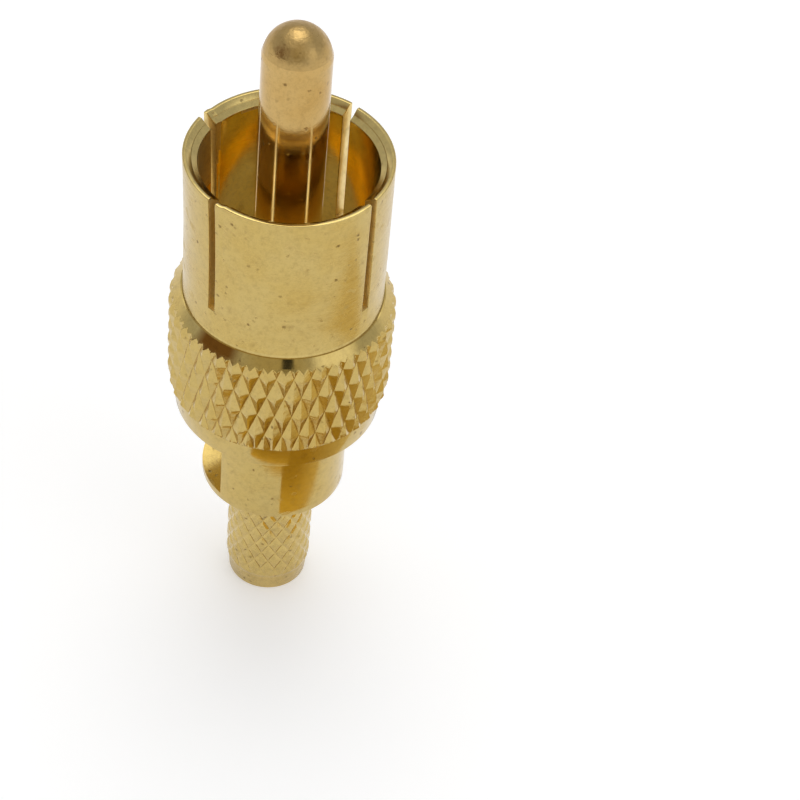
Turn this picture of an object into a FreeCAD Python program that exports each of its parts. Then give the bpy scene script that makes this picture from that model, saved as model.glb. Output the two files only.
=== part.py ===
import FreeCAD, Part
import math
import os

# Crimp plug for a coaxial cable, standing on the end of its crimp tail.
# Millimetres. +Z runs along the plug's axis from the tail to the tip of the pin.
# The origin is the centre of the tail's end face. The milled window faces -Y.
# Four pieces: the outer body, the crimp body, the centre contact and the insulator.

# Centre contact: a turned pin, a thinner grip behind it that the insulator holds, and a solder cup.
pin_radius = 1.60
pin_length = 14.19
pin_chamfer = 0.10
dome_height = 1.30
grip_step = 0.20
contact_neck_radius = 0.73
cup_radius = 1.05
cup_bore_radius = 0.65
cup_length = 2.25
cup_setback = 0.90
cup_drill_depth = 2.60
cup_drill_point = 0.25
cup_shoulder = 0.15

# Crimp body: the knurled tail, the collar, the milled stem and the seat pressed into the outer body.
tail_radius = 2.20
tail_tip_step = 0.16
tail_root_step = 0.10
tail_bore_radius = 1.60
tail_length = 7.64
tail_taper_length = 0.90
tail_taper_step = 0.30
tail_neck_length = 0.40
stem_wall = 1.18
collar_thickness = 0.42
window_length = 4.08
neck_ring_length = 0.97
flat_distance = 1.02
step_height = 0.16
step_length = 0.30
seat_land = 0.40
seat_length = 2.90
seat_recess = 0.06

# Outer body: the slotted shell, the knurled ring and the plain band behind it.
shell_bore_radius = 4.15
shell_wall = 0.68
shell_length = 8.22
rim_flat = 0.18
rim_chamfer_depth = 0.42
slot_count = 4
slot_width = 0.42
slot_length = 6.70
slot_turn = -8.0
ring_radius = 5.50
ring_length = 6.18
ring_front_slope = 0.64
foot_lip = 0.12
band_step = 0.39
band_wall = 0.91
band_length = 1.13
retaining_lip_length = 0.70
retaining_lip_height = 0.85
edge_break = 0.05

# Insulator: a turned bush that holds the contact in the middle.
contact_shoulder_rise = 0.90
insulator_back = 0.20
insulator_hole_radius = 1.10
clearance = 0.02

# Diamond knurls: grooves round the piece, their lean from the axis, their depth and the flat left on top.
# The blank stands proud of the knurl by the skin, which the cut takes off. Cutters run past the metal by the margin.
ring_groove_count = 40
ring_lean = 18.6
ring_knurl_depth = 0.25
ring_top_share = 0.32
tail_groove_count = 18
tail_lean = 31.0
tail_knurl_depth = 0.09
tail_top_share = 0.62
skin = 0.01
tool_margin = 1.0

# Heights along the axis, from the tail up.
collar_z = tail_length
window_z = collar_z + collar_thickness
window_top_z = window_z + window_length
back_z = window_top_z + neck_ring_length
seat_z = back_z + seat_recess
seat_top_z = seat_z + seat_length
ring_z = back_z + band_length
shell_z = ring_z + ring_length
rim_z = shell_z + shell_length
lip_z = shell_z - retaining_lip_length
cup_z = window_z + cup_setback
cup_top_z = cup_z + cup_length
insulator_z = back_z - insulator_back
shoulder_z = back_z + contact_shoulder_rise
dome_z = shell_z + pin_length
tip_z = dome_z + dome_height

# Radii, from the ring inwards and from the tail's outside inwards.
band_radius = ring_radius - band_step
seat_radius = band_radius - band_wall
lip_radius = seat_radius - retaining_lip_height
step_radius = seat_radius - seat_land
stem_radius = step_radius - step_height
cavity_radius = stem_radius - stem_wall
tail_tip_radius = tail_radius - tail_tip_step
tail_root_radius = tail_radius - tail_root_step
shell_radius = shell_bore_radius + shell_wall
grip_radius = pin_radius - grip_step

full_turn = 360.0
half = 0.5
up = FreeCAD.Vector(0, 0, 1)
centre = FreeCAD.Vector(0, 0, 0)


def at(radius, height):
    return FreeCAD.Vector(radius, 0, height)


def turned(points):
    """A piece turned from bar: its half outline swept once round the axis."""
    outline = Part.makePolygon([at(*point) for point in points + points[:1]])
    return Part.Face(outline).revolve(centre, up, full_turn)


def block(x_span, y_span, z_span):
    low = FreeCAD.Vector(x_span[0], y_span[0], z_span[0])
    size = [span[1] - span[0] for span in (x_span, y_span, z_span)]
    return Part.makeBox(size[0], size[1], size[2], low)


def polygon_face(corners):
    return Part.Face(Part.makePolygon(corners + corners[:1]))


def crest_radius(top_radius, depth, grooves, top_share):
    """The radius that just clears the corners of the pyramids' flat tops."""
    side_run = (top_radius - depth) * math.sin(math.pi / grooves) * top_share
    return math.hypot(top_radius, side_run) + skin


def knurl_tool(top_radius, depth, grooves, lean, top_share, anchor_z, low_z, high_z):
    """A square block with a knurled hole: two crossing families of V grooves leave
    rows of four-sided pyramids with flat tops. One row of them has its middle at anchor_z."""
    root_radius = top_radius - depth
    half_turn = math.pi / grooves
    half_height = math.pi * top_radius / grooves / math.tan(math.radians(lean))
    rows_below = math.ceil((anchor_z - low_z) / half_height)
    rows_above = math.ceil((high_z - anchor_z) / half_height)
    rows = rows_below + rows_above
    first_z = anchor_z - rows_below * half_height

    # Each pyramid would come to a point at the apex; the flat top cuts it off at top_radius.
    side_x = root_radius * math.cos(half_turn)
    side_run = root_radius * math.sin(half_turn) * top_share
    apex = side_x + (top_radius - side_x) / (1 - top_share)
    end_share = 1 - depth / (apex - root_radius)
    side_turn = math.atan2(side_run, top_radius)
    side_radius = math.hypot(side_run, top_radius)

    def corner(radius, turn, height):
        return FreeCAD.Vector(radius * math.cos(turn), radius * math.sin(turn), height)

    def pyramid(column, row):
        turn = (2 * column + row % 2) * half_turn
        middle = first_z + row * half_height
        root = [
            corner(root_radius, turn + half_turn, middle),
            corner(root_radius, turn, middle + half_height),
            corner(root_radius, turn - half_turn, middle),
            corner(root_radius, turn, middle - half_height),
        ]
        top = [
            corner(side_radius, turn + side_turn, middle),
            corner(top_radius, turn, middle + half_height * end_share),
            corner(side_radius, turn - side_turn, middle),
            corner(top_radius, turn, middle - half_height * end_share),
        ]
        return root, top

    faces = []
    low_edge = []
    high_edge = []
    for column in range(grooves):
        for row in range(rows + 1):
            root, top = pyramid(column, row)
            if row == 0:
                flanks = (0, 1)
                cap = [top[0], top[1], top[2]]
                low_edge += [root[2], top[2], top[0]]
            elif row == rows:
                flanks = (2, 3)
                cap = [top[2], top[3], top[0]]
                high_edge += [root[2], top[2], top[0]]
            else:
                flanks = (0, 1, 2, 3)
                cap = top
            faces.append(polygon_face(cap))
            for side in flanks:
                other = (side + 1) % len(root)
                faces.append(polygon_face([root[side], root[other], top[other], top[side]]))

    reach = top_radius + tool_margin
    corners = ((-reach, -reach), (reach, -reach), (reach, reach), (-reach, reach))
    last_z = first_z + rows * half_height
    low_square = [FreeCAD.Vector(x, y, first_z) for x, y in corners]
    high_square = [FreeCAD.Vector(x, y, last_z) for x, y in corners]
    for square, edge in ((low_square, low_edge), (high_square, high_edge)):
        outside = Part.makePolygon(square + square[:1])
        hole = Part.makePolygon(edge[:1] + edge[::-1])
        faces.append(Part.Face([outside, hole]))
    for side in range(len(corners)):
        other = (side + 1) % len(corners)
        faces.append(polygon_face([low_square[side], low_square[other], high_square[other], high_square[side]]))
    shell = Part.makeShell(faces)
    shell.sewShape()
    tool = Part.makeSolid(shell)
    if tool.Volume < 0:
        tool.reverse()
    return tool


def outer_body():
    """Slotted shell, knurled ring and plain band, all turned from one bar."""
    blank = crest_radius(ring_radius, ring_knurl_depth, ring_groove_count, ring_top_share)
    back_chamfer = blank - band_radius
    body = turned([
        (seat_radius, back_z),
        (band_radius - edge_break, back_z),
        (band_radius, back_z + edge_break),
        (band_radius, ring_z),
        (blank, ring_z + back_chamfer),
        (blank, shell_z - ring_front_slope),
        (shell_radius + foot_lip, shell_z - edge_break),
        (shell_radius + foot_lip, shell_z),
        (shell_radius, shell_z),
        (shell_radius, rim_z - edge_break),
        (shell_radius - edge_break, rim_z),
        (shell_radius - rim_flat, rim_z),
        (shell_bore_radius, rim_z - rim_chamfer_depth),
        (shell_bore_radius, shell_z),
        (lip_radius, shell_z),
        (lip_radius, lip_z),
        (seat_radius, lip_z),
    ])
    slot = block(
        (lip_radius, shell_radius + tool_margin),
        (-slot_width * half, slot_width * half),
        (rim_z - slot_length, rim_z + tool_margin),
    )
    slots = []
    for number in range(slot_count):
        cutter = slot.copy()
        cutter.rotate(centre, up, slot_turn + number * full_turn / slot_count)
        slots.append(cutter)
    body = body.cut(slots)
    knurl = knurl_tool(
        ring_radius, ring_knurl_depth, ring_groove_count, ring_lean, ring_top_share,
        ring_z + back_chamfer, ring_z, shell_z,
    )
    return body.cut(knurl)


def crimp_body():
    """Tail, collar, stem and seat, turned from one bar, then milled flat down one side."""
    blank = crest_radius(tail_radius, tail_knurl_depth, tail_groove_count, tail_top_share)
    neck_z = collar_z - tail_neck_length
    body = turned([
        (tail_bore_radius, 0),
        (tail_tip_radius - edge_break, 0),
        (tail_tip_radius, edge_break),
        (tail_root_radius, tail_taper_length),
        (blank, tail_taper_length + tail_taper_step),
        (blank, neck_z),
        (tail_root_radius, neck_z),
        (tail_root_radius, collar_z),
        (stem_radius - edge_break, collar_z),
        (stem_radius, collar_z + edge_break),
        (stem_radius, back_z - step_length),
        (step_radius, back_z - step_length),
        (step_radius, seat_z),
        (seat_radius, seat_z),
        (seat_radius, seat_top_z),
        (cavity_radius, seat_top_z),
        (cavity_radius, window_z),
        (tail_bore_radius, window_z),
    ])
    reach = stem_radius + tool_margin
    window = block((-reach, reach), (-reach, -flat_distance), (window_z, window_top_z))
    body = body.cut(window)
    top_z = collar_z - tail_neck_length * half
    knurl = knurl_tool(
        tail_radius, tail_knurl_depth, tail_groove_count, tail_lean, tail_top_share,
        top_z, tail_taper_length, top_z,
    )
    return body.cut(knurl)


def contact():
    """Pin with a domed tip in front and a solder cup, half cut away, at the back."""
    drill_z = cup_z + cup_drill_depth
    flank = Part.makePolygon([
        at(0, drill_z + cup_drill_point),
        at(cup_bore_radius, drill_z),
        at(cup_bore_radius, cup_z),
        at(cup_radius - edge_break, cup_z),
        at(cup_radius, cup_z + edge_break),
        at(cup_radius, cup_top_z),
        at(contact_neck_radius, cup_top_z + cup_shoulder),
        at(contact_neck_radius, shoulder_z),
        at(grip_radius, shoulder_z),
        at(grip_radius, shell_z),
        at(pin_radius - pin_chamfer, shell_z),
        at(pin_radius, shell_z + pin_chamfer),
        at(pin_radius, dome_z),
    ])
    # The dome is a round cap: its arc meets the axis square on.
    dome_radius = (pin_radius ** 2 + dome_height ** 2) / (2 * dome_height)
    sweep = math.atan2(pin_radius, dome_radius - dome_height) * half
    middle = at(dome_radius * math.sin(sweep), tip_z - dome_radius * (1 - math.cos(sweep)))
    dome = Part.Arc(at(pin_radius, dome_z), middle, at(0, tip_z)).toShape()
    back = Part.makeLine(at(0, tip_z), at(0, drill_z + cup_drill_point))
    outline = Part.Wire(flank.Edges + [dome, back])
    piece = Part.Face(outline).revolve(centre, up, full_turn)
    reach = cup_radius + tool_margin
    opening = block((-reach, reach), (-reach, 0), (cup_z - tool_margin, cup_top_z))
    return piece.cut(opening)


def insulator():
    """Bush between the retaining lip in front and the crimp body's seat behind."""
    return turned([
        (insulator_hole_radius, insulator_z),
        (cavity_radius - clearance, insulator_z),
        (cavity_radius - clearance, seat_top_z),
        (seat_radius - clearance, seat_top_z),
        (seat_radius - clearance, lip_z),
        (lip_radius - clearance, lip_z),
        (lip_radius - clearance, shell_z),
        (grip_radius, shell_z),
        (grip_radius, shoulder_z),
        (insulator_hole_radius, shoulder_z),
    ])


pieces = {
    "outer_body": outer_body(),
    "crimp_body": crimp_body(),
    "centre_contact": contact(),
    "insulator": insulator(),
}

os.makedirs("parts", exist_ok=True)
for name, shape in pieces.items():
    shape.exportStep(os.path.join("parts", name + ".step"))
    print(name, "valid", shape.isValid(), "solids", len(shape.Solids), "faces", len(shape.Faces))
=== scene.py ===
# %% [markdown]
# A gold-plated crimp plug, standing on its crimp tail.
# It has four pieces: a slotted outer body with a knurled ring, a crimp body with a milled
# window and a knurled tail, a centre contact with a solder cup, and an insulator.
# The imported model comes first, because every piece made here takes the place of one of its nodes.

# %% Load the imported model
import math

import bmesh
import bpy
from mathutils import Matrix, Vector, noise


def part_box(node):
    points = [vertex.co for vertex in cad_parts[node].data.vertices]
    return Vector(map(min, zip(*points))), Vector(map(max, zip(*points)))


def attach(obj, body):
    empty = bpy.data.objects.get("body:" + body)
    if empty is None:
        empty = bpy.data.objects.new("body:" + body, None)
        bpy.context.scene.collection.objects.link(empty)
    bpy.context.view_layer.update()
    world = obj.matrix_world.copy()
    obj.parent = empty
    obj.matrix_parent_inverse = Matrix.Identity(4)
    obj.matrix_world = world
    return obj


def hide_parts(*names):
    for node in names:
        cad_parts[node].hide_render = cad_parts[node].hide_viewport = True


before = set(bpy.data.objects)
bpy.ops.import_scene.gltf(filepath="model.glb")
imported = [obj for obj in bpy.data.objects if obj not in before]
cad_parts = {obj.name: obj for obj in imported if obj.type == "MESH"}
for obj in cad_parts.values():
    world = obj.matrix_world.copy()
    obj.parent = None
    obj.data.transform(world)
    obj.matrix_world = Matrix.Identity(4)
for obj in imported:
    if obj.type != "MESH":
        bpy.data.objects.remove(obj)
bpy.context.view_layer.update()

mm = 0.001

# %% [markdown]
# Every piece of this plug is turned on a lathe, so one helper does most of the modelling.
# It takes half of a piece's section as a few points, rounds the corners that carry a rounding,
# and spins that outline once about the axis. The columns are the steps round the piece.

# %% Spin an outline round the axis
round_segments = 3
fine_round = 0.02
soft_round = 0.05
weld_distance = 0.0002 * mm


def turn_outline(outline, columns, first_angle=0.0):
    """Outline points are (radius, height) or (radius, height, rounding), all in millimetres."""
    piece = bmesh.new()
    points = [piece.verts.new((point[0] * mm, 0, point[1] * mm)) for point in outline]
    for start, end in zip(points, points[1:] + points[:1]):
        if start.co.x > 0 or end.co.x > 0:
            piece.edges.new((start, end))
    for rounding in sorted({point[2] for point in outline if len(point) > 2}):
        corners = [vert for vert, point in zip(points, outline) if point[2:] == (rounding,)]
        bmesh.ops.bevel(piece, geom=corners, offset=rounding * mm, offset_type="OFFSET",
                        affect="VERTICES", segments=round_segments, profile=0.5,
                        clamp_overlap=True, material=-1)
    bmesh.ops.rotate(piece, verts=piece.verts[:], cent=(0, 0, 0),
                     matrix=Matrix.Rotation(first_angle, 3, "Z"))
    bmesh.ops.spin(piece, geom=piece.verts[:] + piece.edges[:], cent=(0, 0, 0), axis=(0, 0, 1),
                   dvec=(0, 0, 0), angle=math.tau, steps=columns, use_merge=True,
                   use_duplicate=False)
    bmesh.ops.remove_doubles(piece, verts=piece.verts[:], dist=weld_distance)
    bmesh.ops.recalc_face_normals(piece, faces=piece.faces[:])
    return piece


def evenly(start, end, count):
    """The heights that split the stretch from start to end into count equal rows."""
    return [start + (end - start) * step / count for step in range(count + 1)]


# %% Read and set a point by radius, angle and height
# Two heights or radii that differ by less than this, in millimetres, count as the same.
hair = 0.001


def polar(place):
    """Radius and height in millimetres, angle in degrees."""
    radius = math.hypot(place.x, place.y) / mm
    return radius, math.degrees(math.atan2(place.y, place.x)), place.z / mm


def from_polar(radius, angle, height):
    """The place, in metres, of a radius, angle and height as polar gives them."""
    turn = math.radians(angle)
    return Vector((radius * math.cos(turn), radius * math.sin(turn), height)) * mm


# %% Turn a finished bmesh into an object
sharp_angle = math.radians(26)


def add_object(name, shape):
    """Puts a bmesh into the scene as a new object."""
    mesh = bpy.data.meshes.new(name)
    shape.to_mesh(mesh)
    shape.free()
    made = bpy.data.objects.new(name, mesh)
    bpy.context.scene.collection.objects.link(made)
    return made


def finish_piece(piece, name, node, materials):
    """Shades a piece smooth, with sharp edges where the metal turns a corner, and puts it in
    the place of its node."""
    for face in piece.faces:
        face.smooth = True
    for edge in piece.edges:
        edge.smooth = len(edge.link_faces) == 2 and edge.calc_face_angle(0) < sharp_angle
    open_edges = sum(not edge.is_manifold for edge in piece.edges)
    made = add_object(name, piece)
    for material in materials:
        made.data.materials.append(material)
    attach(made, "root")
    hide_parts(node)
    made.data.calc_loop_triangles()
    print(name, "triangles", len(made.data.loop_triangles), "open edges", open_edges)


# %% [markdown]
# A diamond knurl is two families of V grooves that cross. Between them stand four-sided
# pyramids with small flat tops. Here the knurl is a formula for the depth at any place, so
# that a spun surface can be pressed down to it. Poking the squares of the spun surface gives
# each one both of its diagonals, and these lie along the grooves, so every ridge stays crisp.

# %% The knurl's formula
class Knurl:
    """lean is the grooves' angle from the axis, top_share the flat part of a pyramid, anchor
    the height of one pyramid's middle, and squares how many fit across half a pyramid."""

    def __init__(self, radius, depth, grooves, lean, top_share, anchor, squares):
        self.depth = depth
        self.top_share = top_share
        self.anchor = anchor
        self.half_turn = 180 / grooves
        self.half_height = math.pi * radius / grooves / math.tan(math.radians(lean))
        self.columns = 2 * grooves * squares
        self.row_step = self.half_height / squares

    def row_heights(self, low, high):
        """The heights of the rows of squares that cover the stretch from low to high."""
        first = math.floor((low - self.anchor) / self.row_step)
        last = math.ceil((high - self.anchor) / self.row_step)
        return [self.anchor + row * self.row_step for row in range(first, last + 1)]

    def families(self, angle, height):
        """For each family of grooves: 0 halfway between two grooves, 1 in the groove."""
        across = angle / self.half_turn
        along = (height - self.anchor) / self.half_height
        for family in ((across + along) / 2, (across - along) / 2):
            yield abs(family - round(family)) * 2

    def bite(self, angle, height, fades=(1.0, 1.0)):
        """How deep the grooves bite: 0 on a flat top, 1 at the root."""
        deepest = 0.0
        for share, fade in zip(self.families(angle, height), fades):
            deepest = max(deepest, fade * (share - self.top_share) / (1 - self.top_share))
        return deepest


# %% [markdown]
# The outer body starts at its plain band, where the crimp body's seat is pressed in.
# Then come the knurled ring between two slopes, and the thin shell that grips a socket.
# The outline has a row of points at each height where the knurl or the slots need one.

# %% The outer body's sizes, in millimetres
back_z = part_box("outer_body")[0].z / mm
rim_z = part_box("outer_body")[1].z / mm
ring_radius = 5.50
ring_blank = 5.51
band_radius = 5.11
seat_radius = 4.20
seat_round = 0.03
band_length = 1.13
ring_z = back_z + band_length
chamfer_top_z = ring_z + ring_blank - band_radius
shell_length = 8.22
shell_z = rim_z - shell_length
shell_radius = 4.83
bore_radius = 4.15
lip_radius = 3.35
lip_length = 0.70
slot_length = 6.70
slot_z = rim_z - slot_length
slot_turn = -8.0
print("ring from", round(ring_z, 2), "to", round(shell_z, 2), "rim at", round(rim_z, 2))

# %% The slope in front of the ring, its small foot and the flare above it
slope_length = 0.72
slope_top_z = shell_z - slope_length
foot_radius = 4.94
foot_lip = 0.04
foot_z = shell_z - foot_lip
ledge_width = 0.04
ledge_rise = 0.005
flare_length = 0.09
flare_z = shell_z + flare_length


def slope_share(radius):
    """How far along the slope a radius lies: 0 at the ring, 1 at the shell's foot."""
    return (ring_blank - radius) / (ring_blank - foot_radius)


def ring_surface(height):
    """The blank's radius: a straight ring between a 45 degree chamfer and the slope."""
    chamfer = band_radius + height - ring_z
    slope = ring_blank - (ring_blank - foot_radius) * (height - slope_top_z) / (foot_z - slope_top_z)
    return min(ring_blank, chamfer, slope)


# %% The rim's chamfer with one fine step in it, and how far below the rim the wall's rows end
rim_flat_radius = 4.65
rim_chamfer = 0.42
rim_step_radius = 4.43
rim_step_z = rim_z - rim_chamfer / 2
rim_step_width = 0.01
rim_step_height = 0.03
rim_step_round = 0.01
outer_rows_gap = 0.3
bore_rows_gap = 0.6

# %% Rows of points for the ring's knurl, finer where it runs out on the slope
pyramid_rise = 0.85
uneven_share = 0.16
fine_margin = 0.1
fine_rows = 4
ring_knurl = Knurl(ring_radius, depth=0.225, grooves=40, lean=18.6, top_share=0.12,
                   anchor=chamfer_top_z + pyramid_rise, squares=8)
root_radius = ring_radius - ring_knurl.depth * (1 + uneven_share)
knurl_low_z = ring_z + root_radius - band_radius
knurl_high_z = slope_top_z + (foot_z - slope_top_z) * slope_share(root_radius)
knurl_rows = ring_knurl.row_heights(knurl_low_z, slope_top_z - fine_margin)
while knurl_rows[-1] < knurl_high_z:
    knurl_rows.append(knurl_rows[-1] + ring_knurl.row_step / fine_rows)
print("knurled rows", len(knurl_rows), "columns", ring_knurl.columns)

# %% Spin the outer body
wall_rows = 8
outer_wall = [(shell_radius, height) for height in evenly(slot_z, rim_z - outer_rows_gap, wall_rows)]
inner_wall = [(bore_radius, height) for height in evenly(rim_z - bore_rows_gap, slot_z, wall_rows)]
outer_outline = [
    (seat_radius, back_z, seat_round),
    (band_radius, back_z, soft_round),
    (band_radius, ring_z),
    *[(ring_surface(height), height) for height in knurl_rows],
    (foot_radius, foot_z),
    (shell_radius + ledge_width, foot_z + ledge_rise),
    (shell_radius, flare_z),
    *outer_wall,
    (shell_radius, rim_z, soft_round),
    (rim_flat_radius, rim_z, fine_round),
    (rim_step_radius, rim_step_z, rim_step_round),
    (rim_step_radius - rim_step_width, rim_step_z - rim_step_height, rim_step_round),
    (bore_radius, rim_z - rim_chamfer, fine_round),
    *inner_wall,
    (bore_radius, shell_z),
    (lip_radius, shell_z),
    (lip_radius, shell_z - lip_length),
    (seat_radius, shell_z - lip_length),
]
outer = turn_outline(outer_outline, ring_knurl.columns, math.radians(slot_turn))
print("outer body faces", len(outer.faces))

# %% [markdown]
# A knurling wheel never presses quite evenly, and soft brass picks up nicks. A slow noise
# makes the grooves a little deeper or shallower from place to place, and a quick one nicks
# the ridges. Each point keeps its bite as a number, which the gold's recipe reads later.

# %% Press the knurl into the ring
uneven_scale = 0.45
nick_depth = 0.014
nick_scale = 2.6


def in_knurl_rows(face):
    radius, angle, height = polar(face.calc_center_median())
    return knurl_rows[0] < height < knurl_rows[-1] and radius > seat_radius + hair


ring_squares = [face for face in outer.faces if in_knurl_rows(face)]
poked = bmesh.ops.poke(outer, faces=ring_squares)
groove_layer = outer.verts.layers.float.new("groove")
for vert in {vert for face in poked["faces"] for vert in face.verts}:
    radius, angle, height = polar(vert.co)
    bite = ring_knurl.bite(angle - slot_turn, height)
    uneven = 1 + uneven_share * noise.noise(vert.co / mm * uneven_scale)
    nick = nick_depth * abs(noise.noise(vert.co / mm * nick_scale))
    pressed = ring_radius - ring_knurl.depth * uneven * bite - nick
    vert[groove_layer] = bite
    vert.co = from_polar(min(ring_surface(height), pressed), angle, height)
print("knurled squares", len(ring_squares))

# %% [markdown]
# Four saw cuts split the shell into fingers. A saw leaves parallel walls, so the columns of
# the spun shell are first moved until one column lies along each wall, at every radius.
# Then the squares in between are deleted, and the gap's floor is bridged and its walls filled.

# %% Line the columns up with the saw's walls
slot_count = 4
slot_width = 0.42
slot_columns = 8
slot_edge = slot_columns / 2 * 360 / ring_knurl.columns
quarter = 360 / slot_count


def from_slot(angle):
    """The angle from the middle of the nearest slot."""
    return (angle - slot_turn + quarter / 2) % quarter - quarter / 2


def wall_angle(radius):
    """The angle from a slot's middle to its wall."""
    return math.degrees(math.asin(slot_width / 2 / radius))


def saw_angle(radius, turn):
    """Where a column goes that stood at an angle of turn from the slot's middle."""
    wall = wall_angle(radius)
    if abs(turn) <= slot_edge:
        return turn * wall / slot_edge
    rest = (abs(turn) - slot_edge) / (quarter / 2 - slot_edge)
    return math.copysign(wall + rest * (quarter / 2 - wall), turn)


for vert in outer.verts:
    radius, angle, height = polar(vert.co)
    if height > shell_z + hair:
        turn = from_slot(angle)
        vert.co = from_polar(radius, angle - turn + saw_angle(radius, turn), height)
print("slot width in mm", slot_width)


# %% Cut the slots
def in_slot(face):
    radius, angle, height = polar(face.calc_center_median())
    return height > slot_z and abs(from_slot(angle)) < wall_angle(radius)


bmesh.ops.delete(outer, geom=[face for face in outer.faces if in_slot(face)], context="FACES")
for number in range(slot_count):
    middle = slot_turn + number * quarter
    floor_edges = []
    for edge in outer.edges:
        if edge.is_boundary:
            radius, angle, height = polar((edge.verts[0].co + edge.verts[1].co) / 2)
            away = (angle - middle + 180) % 360 - 180
            if abs(height - slot_z) < hair and abs(away) < quarter / 2:
                floor_edges.append(edge)
    bmesh.ops.bridge_loops(outer, edges=floor_edges)
open_edges = [edge for edge in outer.edges if edge.is_boundary]
slot_walls = set(bmesh.ops.holes_fill(outer, edges=open_edges, sides=0)["faces"])
print("slot walls", len(slot_walls))

# %% Break the saw cuts' edges
slot_break = 0.03
break_segments = 2
level_normal = 0.9


def is_slot_face(face):
    radius, angle, height = polar(face.calc_center_median())
    is_floor = abs(height - slot_z) < hair and abs(face.normal.z) > level_normal
    return face in slot_walls or is_floor


cut_edges = [edge for edge in outer.edges
             if sum(is_slot_face(face) for face in edge.link_faces) == 1]
bmesh.ops.bevel(outer, geom=cut_edges, offset=slot_break * mm, offset_type="OFFSET",
                affect="EDGES", segments=break_segments, profile=0.5, clamp_overlap=True,
                material=-1)
bmesh.ops.recalc_face_normals(outer, faces=outer.faces[:])
print("outer body faces", len(outer.faces))

# %% [markdown]
# The saw cuts of the real shell aren't quite evenly spaced: one finger is narrower. Turning the
# cut shell a few degrees at two of its slots, and less and less towards the others, gives that.
# The fingers don't all stand alike either. Each one is bent a little out or in from the bottom
# of the slots, more towards the rim, as a springy strip bends.

# %% Space the slots unevenly
slot_shifts = (-6.5, 0.0, 0.0, 6.0)
shift_margin = 0.1
shift_length = slot_z - shell_z - flare_length - shift_margin
for vert in outer.verts:
    radius, angle, height = polar(vert.co)
    if height > flare_z:
        place = (angle - slot_turn) % 360 / quarter
        number = int(place)
        here = slot_shifts[number]
        there = slot_shifts[(number + 1) % slot_count]
        shift = here + (there - here) * (place - number)
        rise = min((height - shell_z - flare_length) / shift_length, 1.0)
        vert.co = from_polar(radius, angle + shift * rise, height)
print("slot shifts in degrees", slot_shifts)

# %% Bend the fingers
finger_bends = (0.02, -0.04, 0.04, 0.14)
for vert in outer.verts:
    radius, angle, height = polar(vert.co)
    if height > slot_z:
        number = int((angle - slot_turn) % 360 // quarter)
        middle = math.radians(slot_turn + (number + 0.5) * quarter)
        share = (height - slot_z) / (rim_z - slot_z)
        push = finger_bends[number] * share ** 2 * mm
        vert.co += Vector((math.cos(middle), math.sin(middle), 0)) * push
print("finger bends in mm", finger_bends)

# %% [markdown]
# The crimp body is turned too. Its tail has a finer, shallower knurl with broad flats, which
# grips the cable's braid. The knurl fades out at the tapered end, and near the collar only
# one family of grooves runs on. A plain relief groove lies between the knurl and the collar.

# %% The crimp body's sizes, in millimetres
tail_radius = 2.20
tail_bore = 1.60
tail_tip_radius = 2.04
tail_root_radius = 2.10
tail_round = 0.04
tail_length = 7.64
taper_length = 0.90
taper_end = 1.20
relief_length = 0.34
collar_thickness = 0.42
window_z = tail_length + collar_thickness
window_length = 4.08
window_top_z = window_z + window_length
stem_radius = 3.64
cavity_radius = 2.46
step_radius = 3.80
step_length = 0.30
seat_gap = 0.06
seat_z = back_z + seat_gap
seat_length = 2.90
seat_top_z = seat_z + seat_length
print("window from", round(window_z, 2), "to", round(window_top_z, 2))

# %% Rows of points for the tail's knurl
pyramid_gap = 0.20
last_row_gap = 0.40
tail_knurl = Knurl(tail_radius, depth=0.07, grooves=18, lean=31.0, top_share=0.55,
                   anchor=tail_length - pyramid_gap, squares=8)
tail_rows = tail_knurl.row_heights(taper_length, tail_length - last_row_gap)
print("tail rows", len(tail_rows), "columns", tail_knurl.columns)


# %% Spin the crimp body
def tail_surface(height):
    """The tapered end, then the straight tail."""
    share = min(max((height - taper_length) / (taper_end - taper_length), 0), 1)
    return tail_root_radius + (tail_radius - tail_root_radius) * share


crimp_outline = [
    (tail_bore, 0, tail_round),
    (tail_tip_radius, 0, soft_round),
    *[(tail_surface(height), height) for height in tail_rows],
    (tail_root_radius, tail_length - relief_length),
    (tail_root_radius, tail_length),
    (stem_radius, tail_length, soft_round),
    (stem_radius, window_z),
    (stem_radius, window_top_z),
    (stem_radius, back_z - step_length),
    (step_radius, back_z - step_length, fine_round),
    (step_radius, seat_z),
    (seat_radius, seat_z),
    (seat_radius, seat_top_z),
    (cavity_radius, seat_top_z),
    (cavity_radius, window_top_z),
    (cavity_radius, window_z),
    (tail_bore, window_z),
]
window_face = -90.0
crimp = turn_outline(crimp_outline, tail_knurl.columns, math.radians(window_face))
print("crimp body faces", len(crimp.faces))

# %% Press the knurl into the tail
fade_in_length = 0.5
one_family_from = 6.1
one_family_at = 6.6


def ramp(value, start, end):
    """0 at the start, 1 at the end, straight in between."""
    return min(max((value - start) / (end - start), 0.0), 1.0)


def in_tail_rows(face):
    radius, angle, height = polar(face.calc_center_median())
    return tail_rows[0] < height < tail_rows[-1] and radius > tail_bore + hair


tail_squares = [face for face in crimp.faces if in_tail_rows(face)]
poked = bmesh.ops.poke(crimp, faces=tail_squares)
groove_layer = crimp.verts.layers.float.new("groove")
for vert in {vert for face in poked["faces"] for vert in face.verts}:
    radius, angle, height = polar(vert.co)
    start = ramp(height, taper_length, taper_end + fade_in_length)
    fades = (start, start * (1 - ramp(height, one_family_from, one_family_at)))
    bite = tail_knurl.bite(angle, height, fades)
    vert[groove_layer] = bite
    vert.co = from_polar(tail_surface(height) - tail_knurl.depth * bite, angle, height)
print("knurled squares on the tail", len(tail_squares))

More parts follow.
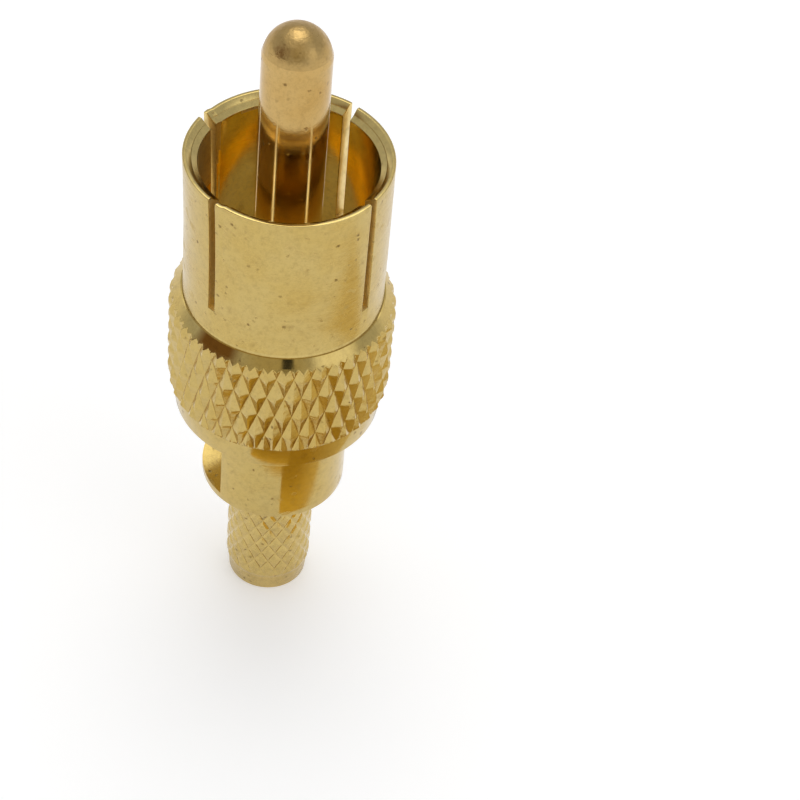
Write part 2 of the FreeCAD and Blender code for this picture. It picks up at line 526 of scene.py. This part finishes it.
# %% [markdown]
# A milling cutter opens one side of the stem, so that the wire can be soldered in its cup.
# The cut is a flat plane between two heights: only the faces of that stretch are bisected
# and cleared, and then the open arcs are bridged and the two flat lands filled.

# %% Mill one side away between two heights
flat_distance = 1.02
plane_reach = 0.003 * mm


def mill_flat(piece, distance, low, high, inside_radius):
    """Clears everything beyond the plane y = -distance, from low to high."""
    def in_zone(vert):
        radius, angle, height = polar(vert.co)
        return low - hair < height < high + hair and radius > inside_radius - hair

    def is_beyond(place):
        return place.y / mm < -distance - hair

    zone = [face for face in piece.faces if all(in_zone(vert) for vert in face.verts)]
    edges = list({edge for face in zone for edge in face.edges})
    cut = bmesh.ops.bisect_plane(piece, geom=zone + edges, dist=plane_reach,
                                 plane_co=(0, -distance * mm, 0), plane_no=(0, -1, 0))
    cleared = [part for part in cut["geom"]
               if isinstance(part, bmesh.types.BMFace) and is_beyond(part.calc_center_median())]
    bmesh.ops.delete(piece, geom=cleared, context="FACES")
    for level in (low, high):
        arcs = [edge for edge in piece.edges if edge.is_boundary
                and all(abs(vert.co.z / mm - level) < hair for vert in edge.verts)
                and any(is_beyond(vert.co) for vert in edge.verts)]
        if arcs:
            bmesh.ops.bridge_loops(piece, edges=arcs)
    open_edges = [edge for edge in piece.edges if edge.is_boundary]
    lands = bmesh.ops.holes_fill(piece, edges=open_edges, sides=0)
    bmesh.ops.recalc_face_normals(piece, faces=piece.faces[:])
    return lands["faces"]


lands = mill_flat(crimp, flat_distance, window_z, window_top_z, cavity_radius)
print("window lands", len(lands), "open edges", sum(edge.is_boundary for edge in crimp.edges))

# %% [markdown]
# The centre contact is a pin with a domed tip. Behind the insulator it thins to a neck and
# ends in a solder cup, half cut away so that the wire can be laid in. The dome doesn't run
# smoothly into the pin: a broken edge lies between them and shows as a dark ring. From that
# edge up, the dome's gold is also painted darker than the pin's, as painted shade.

# %% The contact's sizes, in millimetres
tip_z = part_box("centre_contact")[1].z / mm
cup_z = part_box("centre_contact")[0].z / mm
pin_radius = 1.60
pin_round = 0.10
dome_height = 1.22
dome_z = tip_z - dome_height
dome_edge = 1.53
shoulder_length = 0.20
grip_radius = 1.40
grip_back = 0.90
grip_z = back_z + grip_back
neck_radius = 0.73
cup_radius = 1.05
cup_bore = 0.65
cup_length = 2.25
cup_top_z = cup_z + cup_length
cup_taper = 0.15
drill_depth = 2.60
drill_z = cup_z + drill_depth
drill_point = 0.25
print("pin from", round(shell_z, 2), "to", round(tip_z, 2))

# %% Spin the contact
pin_columns = 256
dome_steps = 28
shaft_rows = 24
shaft_margin = 0.3


def dome_outline():
    """A broken edge and then a round cap, which meet in a crisp corner."""
    ball = (dome_edge ** 2 + dome_height ** 2) / (2 * dome_height)
    widest = math.asin(dome_edge / ball)
    turns = [widest * (1 - step / dome_steps) for step in range(dome_steps + 1)]
    return [(pin_radius, dome_z - shoulder_length)] + [
        (ball * math.sin(turn), tip_z - ball * (1 - math.cos(turn))) for turn in turns]


shaft_heights = evenly(shell_z + shaft_margin, dome_z - shaft_margin, shaft_rows)
contact_outline = [
    (0, drill_z + drill_point),
    (cup_bore, drill_z),
    (cup_bore, cup_top_z),
    (cup_bore, cup_z, fine_round),
    (cup_radius, cup_z, soft_round),
    (cup_radius, cup_top_z),
    (neck_radius, cup_top_z + cup_taper),
    (neck_radius, grip_z),
    (grip_radius, grip_z),
    (grip_radius, shell_z),
    (pin_radius, shell_z, pin_round),
    *[(pin_radius, height) for height in shaft_heights],
    *dome_outline(),
]
contact = turn_outline(contact_outline, pin_columns)
cup_lands = mill_flat(contact, 0.0, cup_z, cup_top_z, cup_bore)
print("contact faces", len(contact.faces), "cup lands", len(cup_lands))

# %% [markdown]
# The insulator is a turned bush. It holds the contact by its grip, sits in the crimp body's
# seat and ends level with the lip that keeps it in. It follows its neighbours' sizes, with a
# small clearance round it.

# %% Spin the insulator
clearance = 0.02
bush_hole = 1.10
bush_back = 0.20
bush_round = 0.04
bush_columns = 192
insulator_outline = [
    (bush_hole, back_z - bush_back),
    (cavity_radius - clearance, back_z - bush_back),
    (cavity_radius - clearance, seat_top_z),
    (seat_radius - clearance, seat_top_z),
    (seat_radius - clearance, shell_z - lip_length),
    (lip_radius - clearance, shell_z - lip_length),
    (lip_radius - clearance, shell_z, bush_round),
    (grip_radius, shell_z),
    (grip_radius, grip_z),
    (bush_hole, grip_z),
]
insulator = turn_outline(insulator_outline, bush_columns)
print("insulator faces", len(insulator.faces))


# %% [markdown]
# All the metal here is thin gold plate over turned brass, but it doesn't look alike all over.
# The shell is satin, the slopes are bright from the cutting tool, the saw cuts are rough, and
# the contact is a little rosier. So one recipe makes each gold, and its numbers differ. Some
# golds are also painted lighter or darker than the plate, as painted light and painted shade:
# the bore, the saw cuts, the tail, the rim and the pin inside the shell lighter, the dome darker.
# A lathe leaves marks that run round a piece. They come from a noise that changes quickly
# along the radius and the height and slowly from side to side, which suits flat steps as
# well as straight walls. Object coordinates hold the pattern still on the metal.

# %% Helpers for materials
def new_material(name):
    material = bpy.data.materials.new(name)
    material.use_nodes = True
    return material, material.node_tree.nodes["Principled BSDF"]


def add_node(tree, kind, inputs=(), **settings):
    """Makes a node, sets it, and fills its inputs with links or plain values."""
    made = tree.nodes.new(kind)
    for setting, value in settings.items():
        setattr(made, setting, value)
    for socket, value in dict(inputs).items():
        if isinstance(value, bpy.types.NodeSocket):
            tree.links.new(value, made.inputs[socket])
        else:
            made.inputs[socket].default_value = value
    return made


def maths(tree, operation, first, second=0.0, third=0.0):
    inputs = {0: first, 1: second, 2: third}
    return add_node(tree, "ShaderNodeMath", inputs, operation=operation).outputs["Value"]


def spread(tree, value, start, end, low=0.0, high=1.0):
    """Maps start..end of a value to low..high, and holds it there."""
    inputs = {"Value": value, "From Min": start, "From Max": end, "To Min": low, "To Max": high}
    return add_node(tree, "ShaderNodeMapRange", inputs).outputs["Result"]


def blend_colour(tree, share, first, second):
    inputs = {"Factor": share, "A": first, "B": second}
    return add_node(tree, "ShaderNodeMix", inputs, data_type="RGBA").outputs["Result"]


def bump_of(tree, height, unit):
    """A bump whose heights count in the given unit, in metres."""
    inputs = {"Strength": 1.0, "Distance": unit, "Height": height}
    return add_node(tree, "ShaderNodeBump", inputs).outputs["Normal"]


# %% Patterns that all the golds share
height_share = 0.6
wobble_finer = 4
wobble_reach = (0.0002, 0.0002, 0.0002)
speck_core = 0.08
speck_edge = 0.22
faintest_speck = 0.2
noise_range = (0.3, 0.7)


def noise_of(tree, place, scale, detail=3.0, roughness=0.55):
    inputs = {"Vector": place, "Scale": scale, "Detail": detail, "Roughness": roughness}
    return add_node(tree, "ShaderNodeTexNoise", inputs).outputs["Fac"]


def turning_place(tree, place, across, around):
    """A place whose first number runs across the lathe's marks and whose others change slowly.
    The height counts for less than the radius, so the marks don't cancel out on a cone."""
    parts = add_node(tree, "ShaderNodeSeparateXYZ", {"Vector": place}).outputs
    level = add_node(tree, "ShaderNodeCombineXYZ", {"X": parts["X"], "Y": parts["Y"]})
    radius = add_node(tree, "ShaderNodeVectorMath", {0: level.outputs["Vector"]}, operation="LENGTH")
    run = maths(tree, "MULTIPLY_ADD", parts["Z"], height_share, radius.outputs["Value"])
    made = add_node(tree, "ShaderNodeCombineXYZ", {
        "X": maths(tree, "MULTIPLY", run, across),
        "Y": maths(tree, "MULTIPLY", parts["X"], around),
        "Z": maths(tree, "MULTIPLY", parts["Y"], around)})
    return made.outputs["Vector"]


def specks_of(tree, place, cells, share):
    """Small irregular spots in a share of the cells: 1 in a spot, 0 outside."""
    finer = {"Vector": place, "Scale": cells * wobble_finer}
    wobble = add_node(tree, "ShaderNodeTexNoise", finer).outputs["Color"]
    bent = add_node(tree, "ShaderNodeVectorMath", {0: wobble, 1: wobble_reach, 2: place},
                    operation="MULTIPLY_ADD").outputs["Vector"]
    cell = add_node(tree, "ShaderNodeTexVoronoi", {"Vector": bent, "Scale": cells}).outputs
    chance = add_node(tree, "ShaderNodeSeparateColor", {"Color": cell["Color"]}).outputs
    near = spread(tree, cell["Distance"], speck_core, speck_edge, 1.0, 0.0)
    strength = maths(tree, "MULTIPLY_ADD", chance["Green"], 1 - faintest_speck, faintest_speck)
    near = maths(tree, "MULTIPLY", near, strength)
    return maths(tree, "MULTIPLY", near, maths(tree, "LESS_THAN", chance["Red"], share))


# %% [markdown]
# The gold recipe puts the layers together. The tone drifts a little from place to place, spots
# and old marks are browner and rougher, and the lathe's marks, the grain, the dents and the
# scratches go to the bump. A knurled piece adds its groove number: the roots hold a warmer
# tone, and the flat tops are worn a little rougher.

# %% The scales of the gold's patterns, in waves to the metre
drift_scale = 420
old_scale = 1300
spot_cells = 1900
mottle_scale = 3200
grain_scale = 9000
lathe_scales = (9000, 160)
scratch_scales = (2600, 900)

# %% The parts of a pattern's range over which it fades in
drift_range = (0.35, 0.70)
mottle_range = (0.20, 0.42)
old_range = (0.60, 0.72)
scratch_range = (0.66, 0.70)
root_range = (0.70, 1.0)
top_range = (0.0, 0.2)

# %% The heights, in millimetres, between which the pin's gold turns to a lighter copy, painted light for the pin inside the shell
lit_from_z = 30.6
lit_at_z = 29.0

# %% How much each pattern stains, roughens or sinks the gold
old_share = 0.35
mottle_stain = 0.20
old_stain = 0.5
spot_stain = 0.9
root_warmth = 0.45
drift_roughness = 0.10
lathe_roughness = 0.5
spot_roughness = 0.25
scratch_roughness = 0.15
top_roughness = 0.10
least_roughness = 0.03
micrometre = 0.000001
spot_depth = 4.0


# %% The gold's colour, layer by layer
gold_spot = (0.170, 0.100, 0.030, 1)


def gold_colour(tree, place, tone, warm, drift, mottle, old, spot, lit_inside):
    """The last colour is painted light: a lighter copy of the gold for the metal inside the shell,
    which stands in for light where the shell shades it.
    """
    colour = blend_colour(tree, spread(tree, drift, *drift_range), tone, warm)
    for share in (spread(tree, mottle, *mottle_range, 0.0, mottle_stain),
                  maths(tree, "MULTIPLY", old, old_stain),
                  maths(tree, "MULTIPLY", spot, spot_stain)):
        colour = blend_colour(tree, share, colour, gold_spot)
    # Painted light: inside the shell the pin turns to a lighter copy of its gold, for the shade it
    # lies in.
    if lit_inside:
        height = add_node(tree, "ShaderNodeSeparateXYZ", {"Vector": place}).outputs["Z"]
        inside = spread(tree, height, lit_from_z * mm, lit_at_z * mm)
        colour = blend_colour(tree, inside, colour, lit_inside)
    return colour


# %% The gold recipe
def turned_gold(name, tone, warm, roughness, marks, grain, spots, scratches=0.0, dents=0.0,
                knurled=False, lit_inside=None):
    """marks, grain, scratches and dents are heights in micrometres, spots the share of
    spotted cells, and the last colour, painted light for the pin inside the shell, is as in
    gold_colour."""
    material, shader = new_material(name)
    tree = material.node_tree
    place = add_node(tree, "ShaderNodeTexCoord").outputs["Object"]
    turned = turning_place(tree, place, *lathe_scales)
    drift = noise_of(tree, place, drift_scale, detail=4.0)
    lathe = noise_of(tree, turned, scale=1.0, detail=5.0, roughness=0.7)
    fine = noise_of(tree, place, grain_scale, detail=3.0, roughness=0.6)
    uneven = noise_of(tree, place, mottle_scale, detail=2.0)
    spot = specks_of(tree, place, spot_cells, spots)
    old = spread(tree, noise_of(tree, place, old_scale, detail=5.0), *old_range)
    old = maths(tree, "MULTIPLY", old, old_share)
    mottle = maths(tree, "MULTIPLY", uneven, fine)
    colour = gold_colour(tree, place, tone, warm, drift, mottle, old, spot, lit_inside)
    rough = roughness
    for pattern, reach in ((spread(tree, drift, *noise_range, -0.5, 0.5), drift_roughness),
                           (spread(tree, lathe, *noise_range, -0.5, 0.5), lathe_roughness * roughness),
                           (maths(tree, "MAXIMUM", spot, old), spot_roughness)):
        rough = maths(tree, "MULTIPLY_ADD", pattern, reach, rough)
    height = maths(tree, "MULTIPLY", lathe, marks)
    for pattern, reach in ((fine, grain), (uneven, dents), (spot, -spot_depth)):
        height = maths(tree, "MULTIPLY_ADD", pattern, reach, height)
    if scratches:
        scraped = turning_place(tree, place, *scratch_scales)
        line = spread(tree, noise_of(tree, scraped, scale=1.0, detail=1.0), *scratch_range)
        height = maths(tree, "MULTIPLY_ADD", line, -scratches, height)
        rough = maths(tree, "MULTIPLY_ADD", line, scratch_roughness, rough)
    if knurled:
        groove = add_node(tree, "ShaderNodeAttribute", attribute_name="groove").outputs["Fac"]
        root = maths(tree, "MULTIPLY", spread(tree, groove, *root_range), root_warmth)
        top = spread(tree, groove, *top_range, 1.0, 0.0)
        colour = blend_colour(tree, root, colour, gold_warm)
        rough = maths(tree, "MULTIPLY_ADD", top, top_roughness, rough)
    rough = maths(tree, "MAXIMUM", rough, least_roughness)
    shader.inputs["Metallic"].default_value = 1.0
    tree.links.new(colour, shader.inputs["Base Color"])
    tree.links.new(rough, shader.inputs["Roughness"])
    tree.links.new(bump_of(tree, height, micrometre), shader.inputs["Normal"])
    print("gold", name, "nodes", len(tree.nodes))
    return material


# %% The golds' colours
gold_tone = (0.560, 0.418, 0.150, 1)
gold_warm = (0.550, 0.392, 0.118, 1)
# Painted light: the bore's gold is a far lighter copy of the same plate, which brightens the shaded
# inside of the shell and of the crimp body.
bore_lit_tone = (0.960, 0.745, 0.210, 1)
bore_lit_warm = (0.940, 0.700, 0.160, 1)
# Painted light: the saw cuts' gold is a lighter copy of the plate, which brightens the slots' shaded
# walls.
saw_lit_tone = (0.860, 0.680, 0.320, 1)
saw_lit_warm = (0.820, 0.620, 0.250, 1)
# Painted light: the tail's gold is a lighter copy of the plate, so that the tail doesn't go dark where
# it mirrors the floor in the plug's shadow. The rim and the shell's foot share this tone.
tail_lit_tone = (0.620, 0.465, 0.168, 1)
pin_tone = (0.560, 0.375, 0.140, 1)
pin_warm = (0.520, 0.325, 0.100, 1)
# Painted light: a much lighter copy of the pin's gold for the part inside the shell, where it lies in
# shade.
pin_lit_inside = (0.880, 0.620, 0.210, 1)
# Painted shade: the dome's gold is a darker copy of the pin's, so that the dome looks darker than the
# shaft and its highlight stays dim.
dome_shaded_tone = (0.500, 0.335, 0.125, 1)
dome_shaded_warm = (0.430, 0.270, 0.085, 1)

# %% The golds of this plug
shell_gold = turned_gold("shell_gold", gold_tone, gold_warm, roughness=0.23, marks=1.3,
                         grain=2.0, spots=0.50, scratches=2.0, dents=1.5)
slope_gold = turned_gold("slope_gold", gold_tone, gold_warm, roughness=0.07, marks=1.0,
                         grain=0.3, spots=0.12)
knurl_gold = turned_gold("knurl_gold", gold_tone, gold_warm, roughness=0.18, marks=0.3,
                         grain=2.4, spots=0.50, dents=3.0, knurled=True)
band_gold = turned_gold("band_gold", gold_tone, gold_warm, roughness=0.14, marks=1.5,
                        grain=0.6, spots=0.22, scratches=2.0)
# The bore's gold is painted light for the shaded bore, lighter than the plate outside.
bore_lit_gold = turned_gold("bore_lit_gold", bore_lit_tone, bore_lit_warm, roughness=0.16, marks=0.9,
                        grain=0.6, spots=0.08)
# The dome's gold is painted darker than the pin's, which is painted shade.
dome_shaded_gold = turned_gold("dome_shaded_gold", dome_shaded_tone, dome_shaded_warm, roughness=0.33, marks=0.5,
                        grain=8.0, spots=0.35, dents=32.0)
# The saw cuts' gold: its roughness is the saw's, and its lighter tone is painted light.
saw_lit_gold = turned_gold("saw_lit_gold", saw_lit_tone, saw_lit_warm, roughness=0.42, marks=2.0,
                       grain=2.0, spots=0.12)
# The tail's gold is painted lighter than the plate, which is painted light.
tail_lit_gold = turned_gold("tail_lit_gold", tail_lit_tone, gold_tone, roughness=0.18, marks=0.3,
                        grain=2.4, spots=0.30, dents=3.0, knurled=True)
# The rim has the tail's lighter, painted-light tone too.
rim_gold = turned_gold("rim_gold", tail_lit_tone, gold_tone, roughness=0.17, marks=1.5,
                       grain=1.2, spots=0.20, dents=1.5)
# The shaft's gold turns to the lighter copy inside the shell, which is painted light.
shaft_gold = turned_gold("shaft_gold", pin_tone, pin_warm, roughness=0.13, marks=1.4,
                         grain=1.0, spots=0.25, dents=1.0, lit_inside=pin_lit_inside)

# %% [markdown]
# The insulator is turned from an off-white plastic rod, so it shows fine rings and a soft shine.
# It can hardly be seen, but the gold walls round it mirror it, and so it lights the whole bore.

# %% The insulator's plastic
plastic_tone = (0.88, 0.84, 0.74, 1)
plastic_cloud = (0.82, 0.77, 0.66, 1)
ring_scales = (7000, 100)
cloud_scale = 500
plastic_roughness = (0.30, 0.48)
white_plastic, shader = new_material("white_plastic")
tree = white_plastic.node_tree
place = add_node(tree, "ShaderNodeTexCoord").outputs["Object"]
rings = noise_of(tree, turning_place(tree, place, *ring_scales), scale=1.0, detail=4.0)
cloud = spread(tree, noise_of(tree, place, cloud_scale, detail=4.0), *noise_range)
cloudy = blend_colour(tree, cloud, plastic_tone, plastic_cloud)
ringed = spread(tree, rings, *noise_range, *plastic_roughness)
tree.links.new(cloudy, shader.inputs["Base Color"])
tree.links.new(ringed, shader.inputs["Roughness"])
tree.links.new(bump_of(tree, rings, 2 * micrometre), shader.inputs["Normal"])
print("plastic nodes", len(tree.nodes))

# %% [markdown]
# A piece changes its finish where another tool cut it, such as the lathe, the knurling wheel
# or the saw. So each face gets its gold by where it lies: its radius, its height and which
# way it looks.

# %% Name the finish at a place on each piece
# The bore, saw cut, tail and rim golds are painted lighter and the dome's gold darker, as painted
# light and painted shade.
outer_golds = {"shell": shell_gold, "slope": slope_gold, "knurl": knurl_gold, "band": band_gold,
               "bore": bore_lit_gold, "saw cut": saw_lit_gold, "rim": rim_gold}
crimp_golds = {"tail": tail_lit_gold, "stem": band_gold, "inside": bore_lit_gold}
contact_golds = {"dome": dome_shaded_gold, "shaft": shaft_gold}
tilt_limit = 0.1
upward_limit = 0.5
bore_slack = 0.03
shell_slack = 0.04
inside_reach = 0.9


def outer_finish(radius, height, upward):
    """The small foot of the shell has the rim's gold."""
    if height > shell_z:
        if abs(upward) > tilt_limit and (height > rim_z - bore_rows_gap or height < flare_z):
            return "rim"
        if radius < bore_radius + bore_slack:
            return "bore"
        return "shell" if radius > shell_radius - shell_slack else "saw cut"
    if radius < lip_radius + inside_reach and height > back_z + hair:
        return "bore"
    if height > knurl_high_z:
        return "slope"
    return "knurl" if height > knurl_low_z else "band"


def crimp_finish(radius, height, upward):
    """The milled lands and the window's floor have the stem's gold."""
    above_tail = height > window_z - hair
    if radius > cavity_radius + hair or (above_tail and upward > upward_limit):
        return "stem"
    return "inside" if radius < tail_bore + hair or above_tail else "tail"


def contact_finish(radius, height, upward):
    return "dome" if height > dome_z else "shaft"


# %% Paint the pieces and hand them over
def paint_zones(piece, choose, golds):
    """choose gets a face's radius, height and upward share of its normal, and names its gold."""
    numbers = {zone: number for number, zone in enumerate(golds)}
    for face in piece.faces:
        radius, angle, height = polar(face.calc_center_median())
        face.material_index = numbers[choose(radius, height, face.normal.z)]


paint_zones(outer, outer_finish, outer_golds)
paint_zones(crimp, crimp_finish, crimp_golds)
paint_zones(contact, contact_finish, contact_golds)
finish_piece(outer, "slotted_body", "outer_body", outer_golds.values())
finish_piece(crimp, "crimp_tail_body", "crimp_body", crimp_golds.values())
finish_piece(contact, "domed_contact", "centre_contact", contact_golds.values())
finish_piece(insulator, "insulating_bush", "insulator", [white_plastic])

# %% [markdown]
# Bare metal shows what stands round it, so the studio matters as much as the gold. This one is
# white low down and greyer above. Towards the camera it is dark, a soft lamp hangs over the
# back, a bright wall stands at the right and a brown one at the left. Each is a soft round
# patch of the sky about one direction, so that every view of the plug sees the same studio.

# %% The studio's tones
white = (1, 1, 1, 1)
mid_sky = (0.60, 0.62, 0.66, 1)
top_sky = (0.85, 0.85, 0.85, 1)
dim_tone = (0.56, 0.51, 0.38, 1)
dark_tone = (0.04, 0.04, 0.04, 1)
bright_wall_tone = (1.25, 1.28, 1.35, 1)
brown_wall_tone = (0.21, 0.115, 0.05, 1)
lamp_tone = (2.6, 2.6, 2.6, 1)
low_band = (0.06, 0.20)
top_band = (0.80, 0.95)
front_turn = math.radians(28.7)

# %% The studio's sky
world = bpy.data.worlds.new("studio")
bpy.context.scene.world = world
world.use_nodes = True
tree = world.node_tree
sky_place = add_node(tree, "ShaderNodeTexCoord").outputs["Generated"]
sky_height = add_node(tree, "ShaderNodeSeparateXYZ", {"Vector": sky_place}).outputs["Z"]


def sky_direction(side, rise):
    """side is in degrees to the camera's right, rise in degrees above the floor."""
    turn = front_turn + math.radians(side)
    level = math.cos(math.radians(rise))
    return level * math.cos(turn), level * math.sin(turn), math.sin(math.radians(rise))


def sky_patch(colour_so_far, colour, side, rise, solid_to, gone_at):
    """Lays a round patch over the sky, solid to one angle from its middle and gone at another."""
    facing = add_node(tree, "ShaderNodeVectorMath", {0: sky_place, 1: sky_direction(side, rise)},
                      operation="DOT_PRODUCT").outputs["Value"]
    share = spread(tree, facing, math.cos(math.radians(gone_at)), math.cos(math.radians(solid_to)))
    return blend_colour(tree, share, colour_so_far, colour)


sky = blend_colour(tree, spread(tree, sky_height, *low_band), white, mid_sky)
sky = blend_colour(tree, spread(tree, sky_height, *top_band), sky, top_sky)
sky = sky_patch(sky, dim_tone, side=0, rise=42, solid_to=14, gone_at=34)
sky = sky_patch(sky, dark_tone, side=9, rise=34, solid_to=3.5, gone_at=6)
sky = sky_patch(sky, bright_wall_tone, side=58, rise=30, solid_to=12, gone_at=24)
sky = sky_patch(sky, brown_wall_tone, side=-64, rise=26, solid_to=13, gone_at=24)
sky = sky_patch(sky, lamp_tone, side=180, rise=66, solid_to=14, gone_at=24)
background = tree.nodes["Background"]
tree.links.new(sky, background.inputs["Color"])
background.inputs["Strength"].default_value = 1.0
print("sky nodes", len(tree.nodes))

# %% [markdown]
# The floor is matt and pale. The sky above is greyer than the floor should look, so the eye and
# the metal see a little white added to it, and the plug's own shadow stays on it.

# %% The floor
floor_half = 1.2
floor_drop = 0.00002
floor_tone = (0.84, 0.84, 0.84, 1)
floor_roughness = 0.9
floor_lift = 0.32
floor_shape = bmesh.new()
bmesh.ops.create_grid(floor_shape, x_segments=1, y_segments=1, size=floor_half)
bmesh.ops.translate(floor_shape, verts=floor_shape.verts[:], vec=(0, 0, -floor_drop))
floor = add_object("pale_floor", floor_shape)
floor_paint, shader = new_material("floor_paint")
shader.inputs["Base Color"].default_value = floor_tone
shader.inputs["Roughness"].default_value = floor_roughness
shader.inputs["Specular IOR Level"].default_value = 0.0
shader.inputs["Emission Color"].default_value = white
tree = floor_paint.node_tree
ray = add_node(tree, "ShaderNodeLightPath").outputs
mirrored = maths(tree, "MAXIMUM", ray["Is Glossy Ray"], ray["Is Transmission Ray"])
seen = maths(tree, "MAXIMUM", ray["Is Camera Ray"], mirrored)
tree.links.new(maths(tree, "MULTIPLY", seen, floor_lift), shader.inputs["Emission Strength"])
floor_paint.cycles.emission_sampling = "NONE"
floor.data.materials.append(floor_paint)
print("floor side in metres", 2 * floor_half)

# %% [markdown]
# A low gold card stands at the right front, rolled into two sleeves that lie end to end, a
# thin one and a thick one. It gives the band, the knurl and the shell the amber streaks that
# gold shows where it mirrors more gold. Only reflections see it.

# %% The gold card's shape, in millimetres
card_points = (Vector((12.7, 3.0, 5.4)), Vector((8.4, 8.0, 5.4)), Vector((-5.2, 19.9, 5.4)))
card_radii = (2.2, 5.2)
card_segments = 48
card_shape = bmesh.new()
for start, end, radius in zip(card_points, card_points[1:], card_radii):
    turn = (end - start).to_track_quat("Z", "Y").to_matrix().to_4x4()
    bmesh.ops.create_cone(card_shape, cap_ends=False, segments=card_segments,
                          radius1=radius * mm, radius2=radius * mm,
                          depth=(end - start).length * mm,
                          matrix=Matrix.Translation((start + end) / 2 * mm) @ turn)
card = add_object("gold_card", card_shape)
for kind in ("camera", "diffuse", "transmission", "volume_scatter", "shadow"):
    setattr(card, "visible_" + kind, False)
print("gold card radii in mm", card_radii)

# %% The gold card's paint: amber below, brown above, paler towards its far end
card_amber = (0.79, 0.55, 0.11, 1)
card_brown = (0.50, 0.32, 0.045, 1)
card_pale = (0.82, 0.68, 0.34, 1)
card_run = (-0.75, 0.66, 0)
brown_heights = (5.5 * mm, 7.5 * mm)
pale_lengths = (1 * mm, 8 * mm)
card_paint, shader = new_material("card_paint")
shader.inputs["Base Color"].default_value = (0, 0, 0, 1)
shader.inputs["Specular IOR Level"].default_value = 0.0
shader.inputs["Emission Strength"].default_value = 1.0
tree = card_paint.node_tree
place = add_node(tree, "ShaderNodeTexCoord").outputs["Object"]
height = add_node(tree, "ShaderNodeSeparateXYZ", {"Vector": place}).outputs["Z"]
along = add_node(tree, "ShaderNodeVectorMath", {0: place, 1: card_run},
                 operation="DOT_PRODUCT").outputs["Value"]
card_tone = blend_colour(tree, spread(tree, height, *brown_heights), card_amber, card_brown)
card_tone = blend_colour(tree, spread(tree, along, *pale_lengths), card_tone, card_pale)
tree.links.new(card_tone, shader.inputs["Emission Color"])
card_paint.cycles.emission_sampling = "NONE"
card.data.materials.append(card_paint)
print("card paint nodes", len(tree.nodes))

# %% [markdown]
# The camera stands where the photograph was taken from. Its place, aim, roll and lens are the
# ones at which this plug's outline and the photographed one cover each other.

# %% The camera
camera_place = Vector((73.74, 40.42, 100.81)) * mm
camera_aim = Vector((-1.204, 6.232, 15.0)) * mm
camera_roll = math.radians(6.513)
camera_lens = 108.93
sensor_width = 36
nearest_seen = 0.005
camera_data = bpy.data.cameras.new("camera")
camera_data.lens = camera_lens
camera_data.sensor_width = sensor_width
camera_data.clip_start = nearest_seen
camera = bpy.data.objects.new("camera", camera_data)
bpy.context.scene.collection.objects.link(camera)
camera.location = camera_place
look = (camera_aim - camera_place).to_track_quat("-Z", "Y")
camera.rotation_mode = "QUATERNION"
camera.rotation_quaternion = look @ Matrix.Rotation(camera_roll, 3, "Z").to_quaternion()
bpy.context.scene.camera = camera
bpy.context.scene.view_settings.view_transform = "Standard"
print("camera at", [round(value / mm, 1) for value in camera_place])
